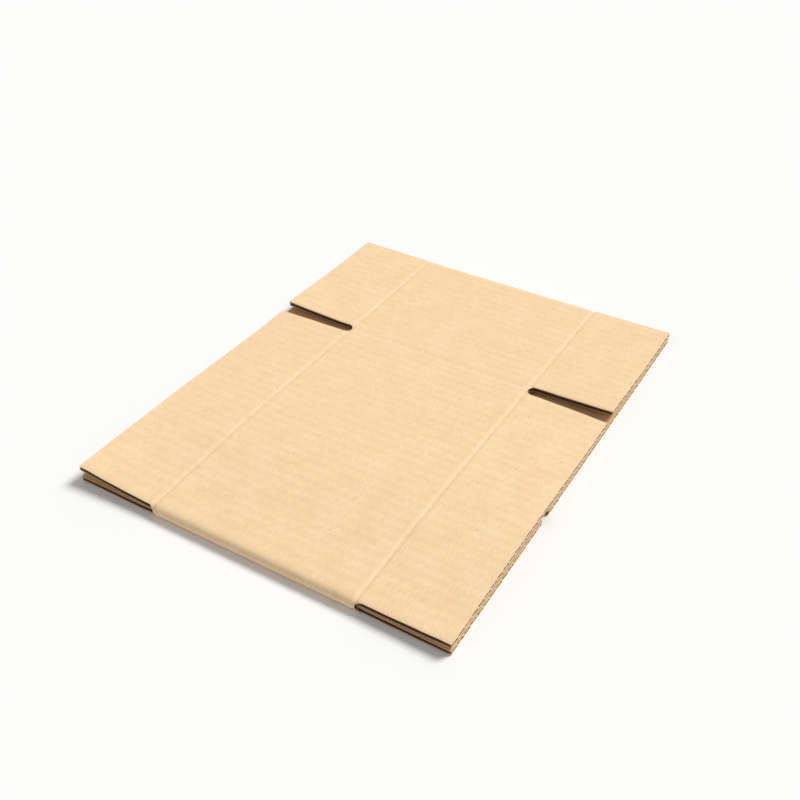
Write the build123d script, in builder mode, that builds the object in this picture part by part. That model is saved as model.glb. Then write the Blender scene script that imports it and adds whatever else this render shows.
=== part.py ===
"""A flattened slotted carton, lying on one side.

One sheet of single-wall corrugated board is slotted, creased, folded flat at two of its four corners and
glued into a sleeve. X runs along the flutes (the height of the opened box), Y runs across the sleeve from
the front fold to the rear fold, and Z is up. The origin is under the middle of the sleeve, on the floor.
"""

import os
from math import pi, radians, tan

from build123d import *

# Inside size of the opened box
box_length = 175.0
box_width = 95.0
box_height = 115.0

# Single-wall board: two liners with a fluted medium between them
board_thickness = 3.1
liner_thickness = 0.45
medium_thickness = 0.4
flute_pitch = 6.0
glue_line_width = 1.5
crown_bevel = 0.5
first_crown_share = 0.25

# Slots between the flaps, and creases where the flaps and panels fold
slot_width = 7.0
crease_width = 2.0
crease_depth = 0.2

# Glued joint, and the air left between the two layers of the flattened sleeve
tab_width = 30.0
tab_thickness = 2.2
tab_end_relief = 1.5
tab_end_taper = 15.0
tab_ramp = 5.0
joint_gap = 2.5
fold_gap = 0.4
tab_clearance = 0.3

# How far cutting tools run past what they cut
overrun = 2.0

# Worked out from the sizes above
flap_length = box_width / 2
sheet_height = box_height + 2 * flap_length
sleeve_width = box_length + box_width
fold_radius = board_thickness + fold_gap / 2
fold_edge = sleeve_width / 2
layer_edge = fold_edge - fold_radius
flat_past_fold = fold_radius * pi / 2 - slot_width / 2
fold_cut = layer_edge + flat_past_fold
crease_x = box_height / 2
upper_score_y = box_length - fold_edge
joint_y = box_width - fold_edge
panel_4_edge = joint_y - joint_gap / 2
panel_1_edge = joint_y + joint_gap / 2
rest_height = board_thickness + fold_gap
crest_height = board_thickness + tab_thickness + tab_clearance
upper_limit = crest_height + board_thickness + overrun
tab_reach = box_height / 2 - tab_end_relief
tab_slope = tab_width * tan(radians(tab_end_taper))


# Underside of the upper layer: it leaves each fold level and rides over the glued tab
with BuildLine() as upper_underside:
    Spline(
        (-layer_edge, rest_height),
        (joint_y - tab_width, crest_height),
        (joint_y, crest_height),
        (layer_edge, rest_height),
        tangents=((tab_width, tab_clearance), (tab_width, -tab_clearance)),
    )
underside = upper_underside.edge()


def underside_height(y):
    """Height of the upper layer's underside above the floor, at a place across the sleeve."""
    plumb_line = Edge.make_line((y, 0), (y, upper_limit))
    return underside.intersect(plumb_line).vertices()[0].Y


# Section of one flute void, standing on the liner that closes its foot
void_height = board_thickness - 2 * liner_thickness - medium_thickness
void_foot = flute_pitch - glue_line_width
with BuildSketch() as flute_void:
    with BuildLine():
        Polyline(
            (-void_foot / 2, liner_thickness),
            (-glue_line_width / 2, liner_thickness + void_height),
            (glue_line_width / 2, liner_thickness + void_height),
            (void_foot / 2, liner_thickness),
            close=True,
        )
    make_face()
    crown_corners = flute_void.vertices().group_by(Axis.Y)[-1]
    chamfer(crown_corners, length=crown_bevel)

# The same void hanging from the other liner, half a pitch further on
with BuildSketch() as hanging_void:
    with Locations(Location((flute_pitch / 2, board_thickness), 180)):
        add(flute_void.sketch)


def flutes_along(path):
    """One place per flute along an edge, turned to follow it, with whole flutes only."""
    count = int((path.length - 2 * glue_line_width) / flute_pitch)
    margin = (path.length - count * flute_pitch) / 2
    places = []
    for index in range(count):
        along = (margin + (index + first_crown_share) * flute_pitch) / path.length
        point = path.position_at(along)
        places.append(Location((point.X, point.Y), path.tangent_angle_at(along)))
    return places


# Section of the folded sheet: an outline that wraps both folds and stops at the glued joint
with BuildSketch(Plane.YZ) as sheet_section:
    with BuildLine():
        add(underside)
        add(underside.moved(Location((0, board_thickness))))
        front_fold = ThreePointArc(
            (-layer_edge, 2 * fold_radius),
            (-fold_edge, fold_radius),
            (-layer_edge, 0),
        )
        rear_fold = ThreePointArc(
            (layer_edge, 2 * fold_radius),
            (fold_edge, fold_radius),
            (layer_edge, 0),
        )
        Polyline(
            front_fold @ 1,
            (panel_4_edge, 0),
            (panel_4_edge, board_thickness),
            (-layer_edge, board_thickness),
            (-layer_edge, rest_height),
        )
        Polyline(
            rear_fold @ 1,
            (panel_1_edge, 0),
            (panel_1_edge, board_thickness),
            (layer_edge, board_thickness),
            (layer_edge, rest_height),
        )
    make_face()
    panel_4_line = Edge.make_line((-layer_edge, 0), (panel_4_edge, 0))
    panel_1_line = Edge.make_line((panel_1_edge, 0), (layer_edge, 0))
    for layer_line in (underside, panel_4_line, panel_1_line):
        with Locations(*flutes_along(layer_line)):
            add(flute_void.sketch, mode=Mode.SUBTRACT)
            add(hanging_void.sketch, mode=Mode.SUBTRACT)

# Glue tab: hinged on the free edge of panel 1, lapped over the inside of panel 4
with BuildPart() as glue_tab:
    with BuildSketch(Plane.YZ.offset(-tab_reach)):
        with BuildLine():
            Polyline(
                (panel_1_edge, liner_thickness),
                (panel_4_edge, board_thickness),
                (joint_y - tab_width, board_thickness),
                (joint_y - tab_width, board_thickness + tab_thickness),
                (panel_4_edge, board_thickness + tab_thickness),
                (panel_1_edge + tab_ramp, board_thickness),
                (panel_1_edge, board_thickness),
                close=True,
            )
        make_face()
    extrude(amount=2 * tab_reach)
    # In plan its ends slope back, so that it stays clear of the flap creases
    with BuildSketch():
        with BuildLine():
            Polyline(
                (-tab_reach, panel_1_edge + tab_ramp),
                (-tab_reach, joint_y),
                (-tab_reach + tab_slope, joint_y - tab_width),
                (tab_reach - tab_slope, joint_y - tab_width),
                (tab_reach, joint_y),
                (tab_reach, panel_1_edge + tab_ramp),
                close=True,
            )
        make_face()
    extrude(amount=upper_limit, mode=Mode.INTERSECT)

# Whole sheet: the section drawn out along the flutes, with the tab glued in
with BuildPart() as flattened_box:
    with BuildSketch(Plane.YZ.offset(-sheet_height / 2)):
        add(sheet_section.sketch_local)
    extrude(amount=sheet_height)
    add(glue_tab.part)

    slot_places = [(crease_x + flap_length, 0), (-crease_x - flap_length, 0)]

    # Slots between the flaps of the upper layer
    with BuildSketch(Plane((0, upper_score_y, (board_thickness + underside_height(upper_score_y)) / 2))):
        with Locations(*slot_places):
            SlotOverall(2 * flap_length, slot_width)
    extrude(amount=upper_limit, mode=Mode.SUBTRACT)

    # Slots between the flaps of the lower layer, at the joint
    with BuildSketch(Plane((0, joint_y, board_thickness + tab_clearance))):
        with Locations(*slot_places):
            SlotOverall(2 * flap_length, slot_width)
    extrude(amount=-upper_limit, mode=Mode.SUBTRACT)

    # Slots on the two folds, with the round end of the slot wrapped over the fold
    for side in (-1, 1):
        slot_floor = Plane((0, side * fold_cut, fold_radius), x_dir=(1, 0, 0), z_dir=(0, side, 0))
        with BuildSketch(slot_floor):
            with Locations(*slot_places):
                SlotOverall(2 * flap_length, 2 * fold_radius)
        extrude(amount=fold_radius, mode=Mode.SUBTRACT)

    # Along those slots the flaps stay flat up to the knife cut, as nothing there is folded
    for end in (-1, 1):
        with BuildSketch(Plane.YZ.offset(end * crease_x)):
            for side in (-1, 1):
                flap_middle = side * (fold_cut - flat_past_fold / 2)
                with Locations((flap_middle, 0), (flap_middle, rest_height)):
                    Rectangle(flat_past_fold, board_thickness, align=(Align.CENTER, Align.MIN))
        extrude(amount=end * flap_length)

    # There the flaps of the two layers part, and the knife has opened a flute in each
    for end in (-1, 1):
        with BuildSketch(Plane.YZ.offset(end * crease_x)):
            for side in (-1, 1):
                with Locations((side * fold_edge, fold_radius)):
                    Rectangle(2 * fold_radius + overrun, fold_gap)
                with Locations((side * fold_cut, rest_height), Location((side * fold_cut, board_thickness), 180)):
                    add(flute_void.sketch)
        extrude(amount=end * flap_length, mode=Mode.SUBTRACT)

    # Flap creases, pressed into the outside of both layers
    for crease in (-crease_x, crease_x):
        with BuildSketch(Plane.YZ.offset(crease - crease_width / 2)):
            with BuildLine():
                add(underside.moved(Location((0, board_thickness - crease_depth))))
                add(underside.moved(Location((0, board_thickness + overrun))))
                Line((-layer_edge, 2 * fold_radius - crease_depth), (-layer_edge, 2 * fold_radius + overrun))
                Line((layer_edge, 2 * fold_radius - crease_depth), (layer_edge, 2 * fold_radius + overrun))
            make_face()
            with Locations((0, crease_depth)):
                Rectangle(2 * layer_edge, overrun, align=(Align.CENTER, Align.MAX))
        extrude(amount=crease_width, mode=Mode.SUBTRACT)

    # Corner score of the upper layer, between the ends of its slots
    score_floor = underside_height(upper_score_y) + board_thickness - crease_depth
    with BuildSketch(Plane((0, upper_score_y, score_floor))):
        Rectangle(box_height, crease_width)
    extrude(amount=overrun, mode=Mode.SUBTRACT)

flattened_box.part.label = "flattened_box"
os.makedirs("parts", exist_ok=True)
export_step(flattened_box.part, "parts/flattened_box.step")
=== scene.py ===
# %% [markdown]
# # A flattened carton of corrugated board
# A slotted carton comes from the maker as one sheet of board, creased, slotted, folded flat at two corners
# and glued into a sleeve. This lesson builds its looks in the same order: the flat blank first, ply by ply,
# and then one fold that lays the blank down as the sleeve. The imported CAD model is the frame: it gives the
# size and the place, and the dressed piece stands in for it.

# %% Load the frame
from math import cos, exp, hypot, pi, radians, sin

import bmesh
import bpy
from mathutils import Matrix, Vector, noise


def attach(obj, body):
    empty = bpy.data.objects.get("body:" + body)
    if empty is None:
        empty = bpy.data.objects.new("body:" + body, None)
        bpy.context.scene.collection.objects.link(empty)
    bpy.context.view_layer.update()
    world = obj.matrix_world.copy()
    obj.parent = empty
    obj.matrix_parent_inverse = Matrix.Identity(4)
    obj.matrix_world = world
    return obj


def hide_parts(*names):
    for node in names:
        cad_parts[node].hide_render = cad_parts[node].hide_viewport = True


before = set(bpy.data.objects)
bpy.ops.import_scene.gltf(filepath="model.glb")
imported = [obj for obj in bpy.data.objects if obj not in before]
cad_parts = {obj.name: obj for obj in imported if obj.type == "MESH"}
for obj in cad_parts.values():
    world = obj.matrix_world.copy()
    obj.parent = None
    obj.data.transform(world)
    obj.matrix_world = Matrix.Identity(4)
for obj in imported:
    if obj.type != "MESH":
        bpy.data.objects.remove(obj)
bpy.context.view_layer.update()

# %% [markdown]
# ## Sizes
# The carton opens to 175 by 95 by 115 mm. Everything below is in millimetres until the piece is finished,
# because board is bought by the millimetre. The names follow the sheet: panel 4 and panel 1 meet at the
# glued joint underneath, panels 3 and 2 lie on top, and a fold at the front and one at the rear join them.

# %% Sizes of the carton and its board
MM = 0.001
BOX_LENGTH = 175.0
BOX_WIDTH = 95.0
BOX_HEIGHT = 115.0
BOARD = 3.1
LINER = 0.45
MEDIUM = 0.4
FLUTE_PITCH = 6.0
SLOT_HALF = 3.5
JOINT_GAP = 2.5
TAB_WIDTH = 30.0
TAB_BOARD = 2.2
TAB_CLIMB = 4.0
FOLD_GAP = 0.4

sheet_half = (BOX_HEIGHT + BOX_WIDTH) / 2
crease_x = BOX_HEIGHT / 2
fold_edge = (BOX_LENGTH + BOX_WIDTH) / 2
fold_radius = BOARD + FOLD_GAP / 2
layer_edge = fold_edge - fold_radius
joint_y = BOX_WIDTH - fold_edge
score_y = BOX_LENGTH - fold_edge
print("flattened sleeve", 2 * sheet_half, "by", 2 * fold_edge, "mm")

# %% [markdown]
# ## Stations along the blank
# A blank is easiest to think of as a strip: walk along it from the free edge of panel 4, round the front
# fold, over the top, round the rear fold and back along panel 1 to the end of the glue tab. The distance
# walked is called `u`. Slots and folds are just stations on that walk, so each is written down once.

# %% Stations
fold_turn = pi * fold_radius
front_start = joint_y - JOINT_GAP / 2 + layer_edge
front_end = front_start + fold_turn
rear_start = front_end + 2 * layer_edge
rear_end = rear_start + fold_turn
hinge = rear_end + layer_edge - joint_y - JOINT_GAP / 2
tab_end = hinge + TAB_CLIMB + TAB_WIDTH - JOINT_GAP / 2

front_station = (front_start + front_end) / 2
score_station = front_end + score_y + layer_edge
rear_station = (rear_start + rear_end) / 2
slot_stations = [-JOINT_GAP / 2, front_station, score_station, rear_station, hinge + JOINT_GAP / 2]
tip_x = crease_x + SLOT_HALF
print("blank", round(tab_end, 1), "mm long, slots at", [round(s, 1) for s in slot_stations])

# %% [markdown]
# ## Rows and columns
# Each ply will start as `create_grid`, the plainest sheet there is. Its rows and columns are slid to where
# detail is needed: close together at creases, slots and cut edges, and far apart on plain board. An even
# grid fine enough for the creases would have ten times the faces. Here the mesh stays light, and every slot
# edge falls on a column.

# %% Columns and rows
def spread(marks, step):
    """Positions from the first mark to the last that pass through every mark, about one step apart."""
    places = [marks[0]]
    for start, end in zip(marks, marks[1:]):
        count = max(1, round((end - start) / step))
        places += [start + (end - start) * (i + 1) / count for i in range(count)]
    return places


def mirrored(half):
    """A list of places on both sides of the middle."""
    return sorted({-x for x in half} | set(half))


column_marks = {0.0, front_start, front_end, rear_start, rear_end, hinge, hinge + TAB_CLIMB, tab_end}
for station in slot_stations:
    slot_columns = (station - SLOT_HALF, station, station + SLOT_HALF)
    column_marks |= {place for place in slot_columns if 0 < place < hinge}
column_marks = sorted(column_marks)

panel_rows = [0.0, 10.0, 20.0, 30.0, 40.0, 49.0]
near_crease = [crease_x + d for d in (-3.0, -2.0, -1.2, -0.5, 0.0, 0.6, 1.3, 2.2)]
flap_rows = [66.0, 74.0, 83.0, 91.0]
near_end = [sheet_half - d for d in (0.0, 0.8, 2.5, 6.0)]
liner_rows = mirrored(panel_rows + near_crease + [tip_x] + flap_rows + near_end)

coarse_rows = [0.0, 40.0, crease_x, crease_x + 1.3, tip_x, 75.0, 90.0]
hidden_rows = mirrored(coarse_rows + near_end[:2])
print(len(column_marks), "stations,", len(liner_rows), "rows outside,", len(hidden_rows), "rows inside")

# %% [markdown]
# ## Slots
# A slotter's knife takes out a strip about 7 mm wide with a round end just past the flap crease. Cutting it
# with a Boolean would work, but leaves slivers in a sheet this thin. Since the slot's edges are columns of
# the grid, its faces are simply deleted, and the corners left at its end are pulled onto the round.

# %% Cut slots and add a ply
CENTRE_REACH = 0.5
ROUNDING = 0.01


def slot_gap(u, x):
    """Distance from a place on the blank to the edge of the nearest slot, below zero inside the slot."""
    beyond = min(abs(x) - tip_x, 0.0)
    return min(hypot(u - station, beyond) for station in slot_stations) - SLOT_HALF


def cut_blank(bm, faces):
    """Takes the slots out of one ply, and what the tab has no board for, then rounds the slot ends."""
    lost = []
    for face in faces:
        u, x, w = face.calc_center_median()
        on_flap = abs(x) > crease_x
        if on_flap and (u > hinge or slot_gap(u, x) < 0):
            lost.append(face)
    rim = {v for face in lost for v in face.verts}
    bmesh.ops.delete(bm, geom=lost, context="FACES")
    for v in rim:
        if not v.is_valid or v.co.x > hinge or abs(v.co.y) > tip_x:
            continue
        station = min(slot_stations, key=lambda s: abs(s - v.co.x))
        side = 1 if v.co.y > 0 else -1
        centre = Vector((station, side * tip_x, v.co.z))
        reach = v.co - centre
        if reach.length > CENTRE_REACH and abs(v.co.x - station) <= SLOT_HALF + ROUNDING:
            v.co = centre + reach.normalized() * SLOT_HALF


def add_ply(bm, columns, rows, heights, thickness):
    """One ply of the blank: a grid on the given columns and rows, cut, and given its thickness."""
    first = len(bm.faces)
    made = bmesh.ops.create_grid(bm, x_segments=len(columns) - 1, y_segments=len(rows) - 1, size=1.0)
    for v in made["verts"]:
        column = round((v.co.x + 1) / 2 * (len(columns) - 1))
        row = round((v.co.y + 1) / 2 * (len(rows) - 1))
        v.co = (columns[column], rows[row], heights(columns[column]))
    bm.faces.ensure_lookup_table()
    cut_blank(bm, bm.faces[first:])
    bm.faces.ensure_lookup_table()
    bmesh.ops.solidify(bm, geom=bm.faces[first:], thickness=thickness)
    bm.faces.ensure_lookup_table()
    return bm.faces[first:]


print("the middle of a slot is", -slot_gap(front_station, sheet_half), "mm inside its edge")

# %% [markdown]
# ## Three plies
# Single-wall board is two flat liners with a wavy medium glued between them. The wave is what shows as a
# row of holes on the cut ends, so it is modelled, not painted: a finer grid whose columns ride up and down.
# Height in the blank is `w`: zero on the outside of the box, minus the board's thickness on the inside.

# %% Build the plies
OUTER_STEP = 1.5
INNER_STEP = 3.0
FLUTE_STEP = 0.6
CREST_FLAT = 0.3
wave_height = BOARD - 2 * LINER - MEDIUM


def flute_wave(u):
    """Height of the middle of the fluted medium, with crests a little flatter than a plain sine."""
    swing = sin(2 * pi * u / FLUTE_PITCH)
    return -BOARD / 2 + wave_height / 2 * swing * (1 + CREST_FLAT - CREST_FLAT * swing * swing)


blank = bmesh.new()
sheet_uv = blank.loops.layers.uv.new("sheet")
cut_mark = blank.verts.layers.float.new("cut")
end_mark = blank.verts.layers.float.new("end")
worn_mark = blank.verts.layers.float.new("worn")

outer_faces = add_ply(blank, spread(column_marks, OUTER_STEP), liner_rows, lambda u: 0.0, LINER)
inner_faces = add_ply(blank, spread(column_marks, INNER_STEP), hidden_rows, lambda u: LINER - BOARD, LINER)
flute_faces = add_ply(blank, spread(column_marks, FLUTE_STEP), hidden_rows,
                      lambda u: flute_wave(u) + MEDIUM / 2, MEDIUM)
plies = (
    ("outer liner", outer_faces, lambda u: -LINER / 2),
    ("inner liner", inner_faces, lambda u: LINER / 2 - BOARD),
    ("fluting", flute_faces, flute_wave),
)
for name, faces, middle in plies:
    heights = [v.co.z for face in faces for v in face.verts]
    print(name, len(faces), "faces, from", round(min(heights), 2), "to", round(max(heights), 2))

# %% [markdown]
# ## What the sheet remembers
# While the blank is still flat, each vertex notes how close it is to a knife cut, to a sawn end and to a fold
# or crease, where board wears first. The flat plan is kept as the UV map, in metres. The materials read all
# of these later, so fibres and flutes run along the board even where it turns round a fold.

# %% Marks and plan
CUT_REACH = 1.6
CUT_MARGIN = 1.0
END_REACH = 1.2
FOLD_WEAR = 3.5
FOLD_WEAR_SHARE = 0.5
CREASE_WEAR = 1.6
CREASE_WEAR_SHARE = 0.7


def bell(distance, width):
    """A soft bump: one in the middle, nothing a few widths away."""
    return exp(-((distance / width) ** 2))


for face in blank.faces:
    for loop in face.loops:
        loop[sheet_uv].uv = (loop.vert.co.x * MM, loop.vert.co.y * MM)
for v in blank.verts:
    u, x, w = v.co
    gap = slot_gap(u, x) if abs(x) > crease_x - CUT_MARGIN else CUT_REACH
    v[cut_mark] = max(0.0, 1.0 - max(gap, 0.0) / CUT_REACH)
    v[end_mark] = max(0.0, 1.0 - (sheet_half - abs(x)) / END_REACH)
    fold_distance = min(abs(u - front_station), abs(u - rear_station))
    crease_distance = min(abs(abs(x) - crease_x), abs(u - score_station))
    fold_wear = FOLD_WEAR_SHARE * bell(fold_distance, FOLD_WEAR)
    crease_wear = CREASE_WEAR_SHARE * bell(crease_distance, CREASE_WEAR)
    v[worn_mark] = max(fold_wear, crease_wear)
print("marked", len(blank.verts), "vertices")

# %% [markdown]
# ## Which paper shows where
# Four papers meet the eye: the smooth outside, the plainer inside, the brown medium, and the raw edge of
# every ply. The backs of the liners that face the flutes are the liner's own paper, but get the medium's
# brown as painted shade, since they are seen only down in the flutes. Which one a face gets follows from its
# ply and from the way it points on the flat blank, which is easier to ask now than after the fold.

# %% Paper of each face
OUTER, INNER, FLUTE, RAW = range(4)
FACES_ENDWAYS = 0.7
FACES_UP = 0.5
for faces, index in ((outer_faces, OUTER), (inner_faces, INNER), (flute_faces, FLUTE)):
    for face in faces:
        sawn_end = abs(face.normal.y) > FACES_ENDWAYS
        liner_rim = abs(face.normal.z) < FACES_UP and index != FLUTE
        # Liner backs facing the flutes take the medium's brown as painted shade.
        faces_flutes_in_shade = face.normal.z < -FACES_UP if index == OUTER else face.normal.z > FACES_UP
        face.material_index = RAW if sawn_end or liner_rim else FLUTE if faces_flutes_in_shade else index
        face.smooth = not (sawn_end or liner_rim)
print("raw edges", sum(face.material_index == RAW for face in blank.faces), "faces")

# %% [markdown]
# ## Pressing and handling
# Nothing about used board is quite flat. The flap creases are pressed lines, the board is squeezed thinner
# along a knife cut, the saw leaves the paper of the ends swollen and in places crushed, the liner dips a
# hair between the flutes, and the cut edges are slightly ragged. These are small moves of the vertices, all
# in the flat sheet, so that the fold carries them along.

# %% Press the blank
BURR = 0.14
CUT_SQUEEZE = 0.15
END_SQUEEZE = 0.06
END_CRUSH = 0.22
CRUSH_SPACING = 16.0
FLUTE_DIP = 0.05
CREASE_DEPTH = 0.42
SCORE_DEPTH = 0.40
GROOVE_WIDTH = 0.9
SHOULDER = 0.10
SHOULDER_PLACE = 2.0
SHOULDER_WIDTH = 0.8
END_RAGGED = 0.22
END_RAGGED_RATES = (0.9, 0.35)
CUT_RAGGED = 0.25
CUT_RAGGED_RATES = (0.2, 0.6)
RIGHT_END_SEED = 4.0
LEFT_END_SEED = 8.0


def wander(u, x, rates, seed):
    """Smooth noise on the blank that changes about so many times per millimetre, along it and across it."""
    return noise.noise(Vector((u * rates[0], x * rates[1], seed)))


def pressed_line(distance, depth):
    """Depth of a pressed line: a groove with the low shoulders that the board puts up beside it."""
    shoulder = SHOULDER * bell(abs(distance) - SHOULDER_PLACE, SHOULDER_WIDTH)
    return depth * bell(distance, GROOVE_WIDTH) - shoulder


board_middle = -BOARD / 2
ply_middle = {v: middle(v.co.x) for name, faces, middle in plies for face in faces for v in face.verts}
for v in blank.verts:
    u, x, w = v.co
    w += BURR * v[end_mark] * (1 if w > ply_middle[v] else -1)
    which_end = RIGHT_END_SEED if x > 0 else LEFT_END_SEED
    crushed = max(0.0, wander(u, which_end, (1 / CRUSH_SPACING, 1.0), seed=0.5))
    squeeze = CUT_SQUEEZE * v[cut_mark] + (END_SQUEEZE + END_CRUSH * crushed) * v[end_mark]
    w = board_middle + (w - board_middle) * (1 - squeeze)
    outside = max(0.0, (w - board_middle) / (BOARD / 2))
    dip = FLUTE_DIP * (0.5 - 0.5 * sin(2 * pi * u / FLUTE_PITCH))
    crease = pressed_line(abs(x) - crease_x, CREASE_DEPTH)
    score = pressed_line(u - score_station, SCORE_DEPTH) if abs(x) < crease_x else 0.0
    w -= outside * (dip + crease + score)
    x += END_RAGGED * v[end_mark] * wander(u, x, END_RAGGED_RATES, seed=3.0)
    u += CUT_RAGGED * v[cut_mark] * wander(u, x, CUT_RAGGED_RATES, seed=9.0)
    v.co = (u, x, w)
print("pressed", len(blank.verts), "vertices")

# %% [markdown]
# ## The arch over the joint
# The glue tab lies on the lower layer and makes three thicknesses of board there, so the upper layer rides
# over it in a low arch. It is drawn as a cubic between knots, with the heights and slopes that the section
# of the CAD model has at the folds and at the two sides of the tab.

# %% Height of the upper layer
LAP_CLEARANCE = 0.3
knots = [-layer_edge, joint_y - TAB_WIDTH, joint_y, layer_edge]
crest = BOARD + TAB_BOARD + LAP_CLEARANCE + BOARD
knot_heights = [2 * fold_radius, crest, crest, 2 * fold_radius]
knot_slopes = [0.01, 0.0184, -0.0098, -0.01]


def upper_height(y):
    """Height of the outside of the upper layer: a cubic between the knots on either side."""
    i = 0 if y < knots[1] else 1 if y < knots[2] else 2
    span = knots[i + 1] - knots[i]
    t = (y - knots[i]) / span
    low, high = knot_heights[i], knot_heights[i + 1]
    start, end = knot_slopes[i] * span, knot_slopes[i + 1] * span
    return (
        low * (2 * t**3 - 3 * t**2 + 1)
        + start * (t**3 - 2 * t**2 + t)
        + high * (3 * t**2 - 2 * t**3)
        + end * (t**3 - t**2)
    )


print("crest of the arch", round(crest, 2), "mm above the floor")

# %% [markdown]
# ## The fold
# Folding is one function from the flat plan to the room. It takes the distance along the blank and the
# depth under its outside, and gives back where that bit of board lies. Bending the mesh with a modifier or
# an armature could do it as well, but a function states the two radii and the lap joint exactly.

# %% Fold
SLOPE_SPAN = 1.0


def round_fold(past, depth, slack):
    """Board that turns a fold: how far out of the layers it reaches, and its height above the floor.

    past runs from 0 where the lower layer starts to turn to fold_turn where the upper layer is flat again.
    slack is 0 in the body, and 1 on the flaps, which run on flat up to the slot.
    """
    turn = past / fold_radius
    reach = fold_radius - depth
    bent = Vector((reach * sin(turn), fold_radius - reach * cos(turn)))
    below = past < fold_turn / 2
    flat = Vector((past, depth)) if below else Vector((fold_turn - past, 2 * fold_radius - depth))
    return bent.lerp(flat, slack)


def lay_down(u, x, depth):
    """Where a bit of board lies in the sleeve: across it, and above the floor."""
    slack = min(max((abs(x) - crease_x) / SLOT_HALF, 0.0), 1.0)
    if u < front_start:
        return joint_y - JOINT_GAP / 2 - u, depth
    if u < front_end:
        out, z = round_fold(u - front_start, depth, slack)
        return -layer_edge - out, z
    if u < rear_start:
        y = u - front_end - layer_edge
        rise = upper_height(y + SLOPE_SPAN / 2) - upper_height(y - SLOPE_SPAN / 2)
        lean = rise / SLOPE_SPAN if abs(y) < layer_edge - SLOPE_SPAN else 0.0
        return y + depth * lean, upper_height(y) - depth
    if u < rear_end:
        out, z = round_fold(rear_end - u, depth, slack)
        return layer_edge + out, z
    if u < hinge:
        return layer_edge - (u - rear_end), depth
    climb = min((u - hinge) / TAB_CLIMB, 1.0)
    y = joint_y + JOINT_GAP / 2 - climb * JOINT_GAP - max(u - hinge - TAB_CLIMB, 0.0)
    return y, climb * BOARD + depth * (1 - climb * (1 - TAB_BOARD / BOARD))


print("the rear fold reaches", round(lay_down(rear_station, 0.0, 0.0)[0], 2), "mm from the middle")

# %% [markdown]
# ## Flaps that have been handled
# The flaps hang on their creases, so they never lie quite in one plane. Beside its slot the long flap is
# pressed down and the short one springs up, which makes the slot gape in a wedge, and the corners at the
# folds lift. The bend grows from nothing at the crease, as it does in board. All of it stays small, so the
# carton still lies flat.

# %% Bend the flaps and fold
FAR_CORNER = 3.2
NEAR_CORNER = 0.8
CORNER_SPAN = 46.0
PRESSED = 1.5
PRESSED_PLACE = 12.0
PRESSED_SPAN = 48.0
SPRUNG = 1.6
SPRUNG_SPAN = 34.0
REAR_CORNER = 0.5
REAR_SPAN = 40.0
BEND_POWER = 1.6
BOW = 0.3
BOW_SPAN = 110.0
BOW_RATES = (1 / 70, 1 / 80)
TAB_INSET_SHARE = 0.026
TAB_TAPER_SHARE = 0.14


def flap_lift(u, x, y):
    """How far handling has bent the upper flaps and bowed the upper layer, in millimetres."""
    if not front_station < u < rear_station:
        return 0.0
    along = max(0.0, abs(x) - crease_x) / (sheet_half - crease_x)
    if u < score_station:
        corner = NEAR_CORNER if x > 0 else FAR_CORNER
        lift = corner * bell(y + fold_edge, CORNER_SPAN) - PRESSED * bell(y - PRESSED_PLACE, PRESSED_SPAN)
    else:
        lift = SPRUNG * bell(y - score_y, SPRUNG_SPAN) + REAR_CORNER * bell(y - fold_edge, REAR_SPAN)
    bow = wander(x, y, BOW_RATES, seed=1.7) * bell(y, BOW_SPAN)
    return lift * along**BEND_POWER + BOW * bow


for v in blank.verts:
    u, x, w = v.co
    if u > hinge:
        x *= 1 - TAB_INSET_SHARE - TAB_TAPER_SHARE * (u - hinge) / (tab_end - hinge)
    y, z = lay_down(u, x, -w)
    z += flap_lift(u, x, y)
    v.co = Vector((x, y, z)) * MM
print("folded, highest point", round(max(v.co.z for v in blank.verts) / MM, 2), "mm above the floor")

# %% [markdown]
# ## Faces outwards
# The fold lays the plan's length along the room's second axis and its width along the first. Swapping two
# axes is a mirror, and a mirror turns a closed shell inside out, so every face is turned round here. The
# signed volume of the paper tells whether that is right: it is positive when faces point outwards.

# %% Turn the faces outwards
CUBIC_CM = (10 * MM) ** 3
bmesh.ops.reverse_faces(blank, faces=blank.faces[:])
print("paper in the board", round(blank.calc_volume(signed=True) / CUBIC_CM, 1), "cubic centimetres")

# %% [markdown]
# ## One piece
# The three plies are glued in the real board and never part, so they become one object. It stands in for
# the CAD solid, which is hidden, and rides on the only body that there is.

# %% Make the piece
SHARP_ANGLE = 50.0
board_mesh = bpy.data.meshes.new("folded_board")
blank.normal_update()
blank.to_mesh(board_mesh)
blank.free()
board_mesh.set_sharp_from_angle(angle=radians(SHARP_ANGLE))
folded_board = bpy.data.objects.new("folded_board", board_mesh)
bpy.context.scene.collection.objects.link(folded_board)
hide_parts("flattened_box")
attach(folded_board, "root")
print("triangles", sum(len(p.vertices) - 2 for p in board_mesh.polygons))

# %% [markdown]
# ## Materials
# Kraft paper is unbleached wood pulp: matte, a little uneven in tone, with fibres that lie mostly along the
# run of the paper machine and a few dark specks of bark. Colours are written as sRGB hex, as a paint chart
# would give them, and one function turns them linear for Blender. One more adds a node with its settings.

# %% Colour and node helpers
def paint(code):
    """An sRGB hex colour as the linear values that a shader needs."""
    channels = [int(code[i:i + 2], 16) / 255 for i in (1, 3, 5)]
    linear = [c / 12.92 if c <= 0.04045 else ((c + 0.055) / 1.055) ** 2.4 for c in channels]
    return (*linear, 1.0)


def add_node(tree, kind, settings=None, values=None, links=None):
    """A node of the given kind, with its settings, socket values and incoming links."""
    node = tree.nodes.new(kind)
    for name, value in (settings or {}).items():
        setattr(node, name, value)
    for name, value in (values or {}).items():
        node.inputs[name].default_value = value
    for name, source in (links or {}).items():
        tree.links.new(source, node.inputs[name])
    return node


def new_material(name):
    """A node material, its tree and the Principled shader in it."""
    material = bpy.data.materials.new(name)
    material.use_nodes = True
    tree = material.node_tree
    shader = tree.nodes["Principled BSDF"]
    return material, tree, shader


print("mid grey is", [round(c, 3) for c in paint("#808080")[:3]], "in linear light")

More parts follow.
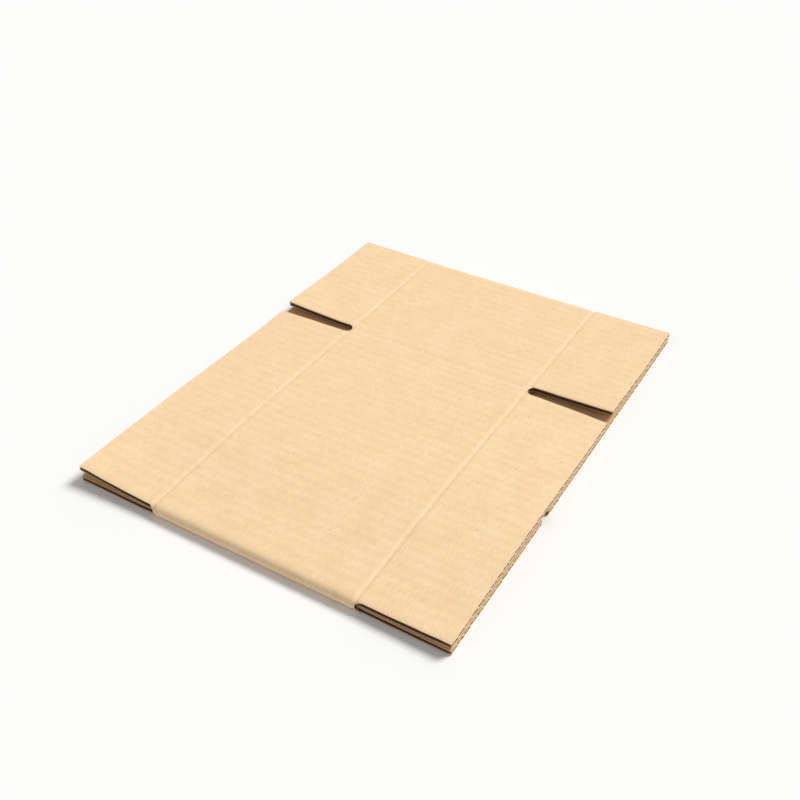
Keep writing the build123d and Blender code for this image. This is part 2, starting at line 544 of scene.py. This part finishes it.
# %% [markdown]
# ## Kraft liner: tone and fibres
# The liner is smooth-pressed kraft with nearly no gloss. Its tone drifts in clouds about a centimetre and a
# half across, where the pulp settled thicker or thinner. A kraft fibre is a few millimetres long but finer
# than a pixel here, so fibres are drawn as strands nearly a millimetre wide, which is coarse enough to show.
# The pattern reads the flat plan, so it turns with the sheet at the folds.

# %% Kraft liner, tone and fibres
CLOUD = 14 * MM
FIBRE_LENGTH = 4 * MM
FIBRE_STRAND = 0.9 * MM
PULP_GRAIN = 0.6 * MM

kraft, tree, shader = new_material("kraft_liner")
plan = add_node(tree, "ShaderNodeUVMap", {"uv_map": "sheet"}).outputs["UV"]
clouds = add_node(tree, "ShaderNodeTexNoise", {}, {"Scale": 1 / CLOUD, "Detail": 4.0, "Roughness": 0.6},
                  {"Vector": plan})
tone = add_node(tree, "ShaderNodeMix", {"data_type": "RGBA"},
                {"A": paint("#EFC99B"), "B": paint("#FADEB4")}, {"Factor": clouds.outputs["Fac"]})
along = add_node(tree, "ShaderNodeMapping", {}, {"Scale": (1 / FIBRE_LENGTH, 1 / FIBRE_STRAND, 1.0)},
                 {"Vector": plan})
fibres = add_node(tree, "ShaderNodeTexNoise", {}, {"Scale": 1.0, "Detail": 3.0, "Roughness": 0.65},
                  {"Vector": along.outputs["Vector"]})
fibre_tone = add_node(tree, "ShaderNodeMapRange", {},
                      {"From Min": 0.3, "From Max": 0.7, "To Min": 0.92, "To Max": 1.05},
                      {"Value": fibres.outputs["Fac"]})
pulp = add_node(tree, "ShaderNodeTexNoise", {}, {"Scale": 1 / PULP_GRAIN, "Detail": 2.0}, {"Vector": plan})
pulp_tone = add_node(tree, "ShaderNodeMapRange", {},
                     {"From Min": 0.3, "From Max": 0.7, "To Min": 0.96, "To Max": 1.04},
                     {"Value": pulp.outputs["Fac"]})
paper_tone = add_node(tree, "ShaderNodeMath", {"operation": "MULTIPLY"}, {},
                      {0: fibre_tone.outputs["Result"], 1: pulp_tone.outputs["Result"]})
fibred = add_node(tree, "ShaderNodeVectorMath", {"operation": "SCALE"}, {},
                  {0: tone.outputs["Result"], "Scale": paper_tone.outputs["Value"]})
sheen = add_node(tree, "ShaderNodeMapRange", {}, {"To Min": 0.76, "To Max": 0.90},
                 {"Value": fibres.outputs["Fac"]})
grain = add_node(tree, "ShaderNodeBump", {}, {"Strength": 0.35, "Distance": 0.12 * MM},
                 {"Height": fibres.outputs["Fac"]})
tree.links.new(sheen.outputs["Result"], shader.inputs["Roughness"])
tree.links.new(grain.outputs["Normal"], shader.inputs["Normal"])
shader.inputs["Specular IOR Level"].default_value = 0.3
print("started", kraft.name)

# %% [markdown]
# ## Kraft liner: specks, flutes and wear
# Bark leaves a dark speck here and there. Faint stripes one pitch apart are painted shade of the dips that
# the flutes underneath press into the liner. Folds and creases are rubbed a little paler, where the fibres
# stand up, and the liner is bruised along the slots. The marks that the blank kept say where.

# %% Kraft liner, specks, flutes and wear
SPECK_SPACING = 9 * MM
WAVE_RATE = 20

specks = add_node(tree, "ShaderNodeTexVoronoi", {}, {"Scale": 1 / SPECK_SPACING}, {"Vector": plan})
speck_size = add_node(tree, "ShaderNodeMapRange", {},
                      {"From Min": 0.03, "From Max": 0.06, "To Min": 0.45, "To Max": 0.0},
                      {"Value": specks.outputs["Distance"]})
flecked = add_node(tree, "ShaderNodeMix", {"data_type": "RGBA"}, {"B": paint("#8F6840")},
                   {"Factor": speck_size.outputs["Result"], "A": fibred.outputs["Vector"]})
# Painted shade: faint stripes one flute pitch apart, where the liner dips between the flutes.
flute_shade_wave = add_node(tree, "ShaderNodeTexWave", {"wave_profile": "SIN", "bands_direction": "X"},
                   {"Scale": 2 * pi / (WAVE_RATE * FLUTE_PITCH * MM), "Distortion": 0.0}, {"Vector": plan})
painted_flute_shade = add_node(tree, "ShaderNodeMapRange", {}, {"To Min": 0.985, "To Max": 1.008},
                       {"Value": flute_shade_wave.outputs["Fac"]})
flute_shaded = add_node(tree, "ShaderNodeVectorMath", {"operation": "SCALE"}, {},
                   {0: flecked.outputs["Result"], "Scale": painted_flute_shade.outputs["Result"]})
worn = add_node(tree, "ShaderNodeAttribute", {"attribute_name": "worn"})
rubbing = add_node(tree, "ShaderNodeMapRange", {}, {"From Min": 0.45, "From Max": 0.7, "To Max": 0.45},
                   {"Value": fibres.outputs["Fac"]})
rubbed = add_node(tree, "ShaderNodeMath", {"operation": "MULTIPLY"}, {},
                  {0: worn.outputs["Fac"], 1: rubbing.outputs["Result"]})
scuffed = add_node(tree, "ShaderNodeMix", {"data_type": "RGBA"}, {"B": paint("#FBE9CD")},
                   {"Factor": rubbed.outputs["Value"], "A": flute_shaded.outputs["Vector"]})
cut = add_node(tree, "ShaderNodeAttribute", {"attribute_name": "cut"})
rim = add_node(tree, "ShaderNodeMath", {"operation": "MULTIPLY"}, {1: 0.4}, {0: cut.outputs["Fac"]})
trimmed = add_node(tree, "ShaderNodeMix", {"data_type": "RGBA"}, {"B": paint("#D3A97B")},
                   {"Factor": rim.outputs["Value"], "A": scuffed.outputs["Result"]})
tree.links.new(trimmed.outputs["Result"], shader.inputs["Base Color"])
print("made", kraft.name)

# %% [markdown]
# ## Fluting medium
# The medium is recycled pulp, a redder brown than the liner, and quite matte. Its brown is drawn deeper than
# the pulp's own, as painted shade, so that the flutes show as dark holes. The backs of the liners are drawn
# with it too, as painted shade, because they are seen only down in the flutes. Where a slot knife has crushed
# the board along a flute the torn fibres are dark streaks, drawn darker still as painted shade of the open
# flutes on the cut. At the sawn ends the medium is drawn paler, as painted light where light falls into the
# mouths of the flutes, so that it darkens deeper in.

# %% Fluting medium
TORN_WIDTH = 0.6 * MM
TORN_LENGTH = 10 * MM

fluting, tree, shader = new_material("fluting_and_flute_shade")
plan = add_node(tree, "ShaderNodeUVMap", {"uv_map": "sheet"}).outputs["UV"]
pulp = add_node(tree, "ShaderNodeTexNoise", {}, {"Scale": 1 / (2 * MM), "Detail": 4.0}, {"Vector": plan})
# The medium's brown, drawn darker than the pulp's own as painted shade down in the flutes.
pulp_brown_and_shade = add_node(tree, "ShaderNodeMix", {"data_type": "RGBA"},
                 {"A": paint("#7E4526"), "B": paint("#A66438")}, {"Factor": pulp.outputs["Fac"]})
along = add_node(tree, "ShaderNodeMapping", {}, {"Scale": (1 / TORN_WIDTH, 1 / TORN_LENGTH, 1.0)},
                 {"Vector": plan})
streaks = add_node(tree, "ShaderNodeTexNoise", {}, {"Scale": 1.0, "Detail": 3.0},
                   {"Vector": along.outputs["Vector"]})
# Dark streaks along the slot cuts: crushed fibre, and painted shade of the open flutes there.
torn = add_node(tree, "ShaderNodeMix", {"data_type": "RGBA"},
                {"A": paint("#3F2B29"), "B": paint("#8B6852")}, {"Factor": streaks.outputs["Fac"]})
cut = add_node(tree, "ShaderNodeAttribute", {"attribute_name": "cut"})
crushed_and_shaded = add_node(tree, "ShaderNodeMix", {"data_type": "RGBA"}, {},
                   {"Factor": cut.outputs["Fac"], "A": pulp_brown_and_shade.outputs["Result"], "B": torn.outputs["Result"]})
# Painted light: the medium is paler at the sawn ends, where light falls into the flutes, so it looks darker
# deeper in.
sawn = add_node(tree, "ShaderNodeAttribute", {"attribute_name": "end"})
mouth_light = add_node(tree, "ShaderNodeMath", {"operation": "MULTIPLY"}, {1: 0.35}, {0: sawn.outputs["Fac"]})
with_lit_mouths = add_node(tree, "ShaderNodeMix", {"data_type": "RGBA"}, {"B": paint("#DAA56C")},
                  {"Factor": mouth_light.outputs["Value"], "A": crushed_and_shaded.outputs["Result"]})
tree.links.new(with_lit_mouths.outputs["Result"], shader.inputs["Base Color"])
shader.inputs["Roughness"].default_value = 0.95
shader.inputs["Specular IOR Level"].default_value = 0.2
print("made", fluting.name)

# %% [markdown]
# ## Inner liner
# The inside of a carton is a cheaper liner, a shade browner, and rougher because it isn't pressed smooth. It
# shows only in the slots and in the gap between the two layers, so clouds of tone and a fine nap are enough.

# %% Inner liner
NAP = 0.8 * MM

inside, tree, shader = new_material("inner_liner")
plan = add_node(tree, "ShaderNodeUVMap", {"uv_map": "sheet"}).outputs["UV"]
clouds = add_node(tree, "ShaderNodeTexNoise", {}, {"Scale": 1 / (10 * MM), "Detail": 4.0}, {"Vector": plan})
tone = add_node(tree, "ShaderNodeMix", {"data_type": "RGBA"},
                {"A": paint("#CDA475"), "B": paint("#DCB68B")}, {"Factor": clouds.outputs["Fac"]})
nap = add_node(tree, "ShaderNodeTexNoise", {}, {"Scale": 1 / NAP, "Detail": 3.0}, {"Vector": plan})
grain = add_node(tree, "ShaderNodeBump", {}, {"Strength": 0.4, "Distance": 0.12 * MM},
                 {"Height": nap.outputs["Fac"]})
tree.links.new(tone.outputs["Result"], shader.inputs["Base Color"])
tree.links.new(grain.outputs["Normal"], shader.inputs["Normal"])
shader.inputs["Roughness"].default_value = 0.88
shader.inputs["Specular IOR Level"].default_value = 0.25
print("made", inside.name)

# %% [markdown]
# ## Raw paper edges
# A saw leaves pale, open fibre on the ends, and a slot knife drags the fibre along and darkens it. Both are
# streaks that follow the cut, so they are stretched on Object coordinates: long along the carton's width,
# and half a millimetre high, which is about the thickness of one ply.

# %% Raw paper edge
STREAK = (6 * MM, 1.5 * MM, 0.5 * MM)

raw, tree, shader = new_material("raw_paper_edge")
place = add_node(tree, "ShaderNodeTexCoord").outputs["Object"]
along = add_node(tree, "ShaderNodeMapping", {}, {"Scale": [1 / length for length in STREAK]},
                 {"Vector": place})
torn = add_node(tree, "ShaderNodeTexNoise", {}, {"Scale": 1.0, "Detail": 3.0},
                {"Vector": along.outputs["Vector"]})
pale = add_node(tree, "ShaderNodeMix", {"data_type": "RGBA"},
                {"A": paint("#E8CFA6"), "B": paint("#F6E6CC")}, {"Factor": torn.outputs["Fac"]})
dark = add_node(tree, "ShaderNodeMix", {"data_type": "RGBA"},
                {"A": paint("#94704F"), "B": paint("#EAD2AE")}, {"Factor": torn.outputs["Fac"]})
cut = add_node(tree, "ShaderNodeAttribute", {"attribute_name": "cut"})
edge = add_node(tree, "ShaderNodeMix", {"data_type": "RGBA"}, {},
                {"Factor": cut.outputs["Fac"], "A": pale.outputs["Result"], "B": dark.outputs["Result"]})
fray = add_node(tree, "ShaderNodeBump", {}, {"Strength": 0.6, "Distance": 0.2 * MM},
                {"Height": torn.outputs["Fac"]})
tree.links.new(edge.outputs["Result"], shader.inputs["Base Color"])
tree.links.new(fray.outputs["Normal"], shader.inputs["Normal"])
shader.inputs["Roughness"].default_value = 0.95
shader.inputs["Specular IOR Level"].default_value = 0.2

for material in (kraft, inside, fluting, raw):
    board_mesh.materials.append(material)
print("materials", [m.name for m in board_mesh.materials])

# %% [markdown]
# ## Floor
# A wide pale floor, matte so that it takes a soft shadow. It lies a hair under the carton, whose underside
# is a little uneven.

# %% Floor
FLOOR_HALF = 4.0
FLOOR_DROP = 0.2 * MM

floor_mesh = bpy.data.meshes.new("floor")
floor_bm = bmesh.new()
bmesh.ops.create_grid(floor_bm, x_segments=1, y_segments=1, size=FLOOR_HALF)
bmesh.ops.translate(floor_bm, verts=floor_bm.verts, vec=(0, 0, -FLOOR_DROP))
floor_bm.to_mesh(floor_mesh)
floor_bm.free()
floor = bpy.data.objects.new("floor", floor_mesh)
bpy.context.scene.collection.objects.link(floor)
floor_paint, tree, shader = new_material("pale_floor")
shader.inputs["Base Color"].default_value = paint("#F8F8F7")
shader.inputs["Roughness"].default_value = 0.9
shader.inputs["Specular IOR Level"].default_value = 0.1
floor_mesh.materials.append(floor_paint)
print("floor", 2 * FLOOR_HALF, "m wide")

# %% [markdown]
# ## Light
# The key is one broad lamp from behind on the right, so that the fold and the slots in front fall into
# shade, with a weak fill from the front. Suns are used because they light the whole floor evenly. The world
# gives the even light of the shade. The camera sees it as plain white, and so do reflections, while the
# light that it sheds stays low, so that colours render about as they are written.

# %% Light
SHADE_LIGHT = 0.33
SEEN_LIGHT = 1.0

scene = bpy.context.scene
scene.view_settings.view_transform = "Standard"
world = bpy.data.worlds.new("studio")
world.use_nodes = True
scene.world = world
tree = world.node_tree
background = tree.nodes["Background"]
background.inputs["Color"].default_value = paint("#FFFFFF")
ray = add_node(tree, "ShaderNodeLightPath").outputs
mirrored_ray = add_node(tree, "ShaderNodeMath", {"operation": "MAXIMUM"}, {},
                        {0: ray["Is Glossy Ray"], 1: ray["Is Transmission Ray"]})
seen = add_node(tree, "ShaderNodeMath", {"operation": "MAXIMUM"}, {},
                {0: ray["Is Camera Ray"], 1: mirrored_ray.outputs["Value"]})
sky = add_node(tree, "ShaderNodeMapRange", {}, {"To Min": SHADE_LIGHT, "To Max": SEEN_LIGHT},
               {"Value": seen.outputs["Value"]})
tree.links.new(sky.outputs["Result"], background.inputs["Strength"])


def soft_lamp(name, place, spread_angle, strength):
    """A far, broad lamp that shines evenly over the floor from the direction of a place."""
    lamp = bpy.data.lights.new(name, "SUN")
    lamp.angle = radians(spread_angle)
    lamp.energy = strength
    obj = bpy.data.objects.new(name, lamp)
    obj.location = place
    obj.rotation_euler = (-Vector(place)).to_track_quat("-Z", "Y").to_euler()
    scene.collection.objects.link(obj)
    return obj


key = soft_lamp("key", place=(2.4, 3.6, 4.7), spread_angle=26.0, strength=2.82)
fill = soft_lamp("fill", place=(-2.4, -4.4, 4.0), spread_angle=35.0, strength=0.25)
print("lamps", key.name, key.data.energy, "and", fill.name, fill.data.energy)

# %% [markdown]
# ## Camera
# The camera keeps the photograph's lens and its turn to the right of the folds, and is raised, because the
# carton lies down here and is looked down on.

# %% Camera
AZIMUTH = 31.0
ELEVATION = 38.0
DISTANCE = 0.56
AIM_HEIGHT = 4 * MM
LENS = 46.3
SENSOR = 36.0
NEAREST = 0.01

turn, rise = radians(AZIMUTH), radians(ELEVATION)
aim = Vector((0.0, 0.0, AIM_HEIGHT))
back = Vector((sin(turn) * cos(rise), -cos(turn) * cos(rise), sin(rise)))
camera_data = bpy.data.cameras.new("camera")
camera_data.lens = LENS
camera_data.sensor_width = SENSOR
camera_data.sensor_fit = "HORIZONTAL"
camera_data.clip_start = NEAREST
camera = bpy.data.objects.new("camera", camera_data)
camera.location = aim + back * DISTANCE
camera.rotation_euler = (-back).to_track_quat("-Z", "Y").to_euler()
scene.collection.objects.link(camera)
scene.camera = camera
print("camera at", [round(c, 3) for c in camera.location])
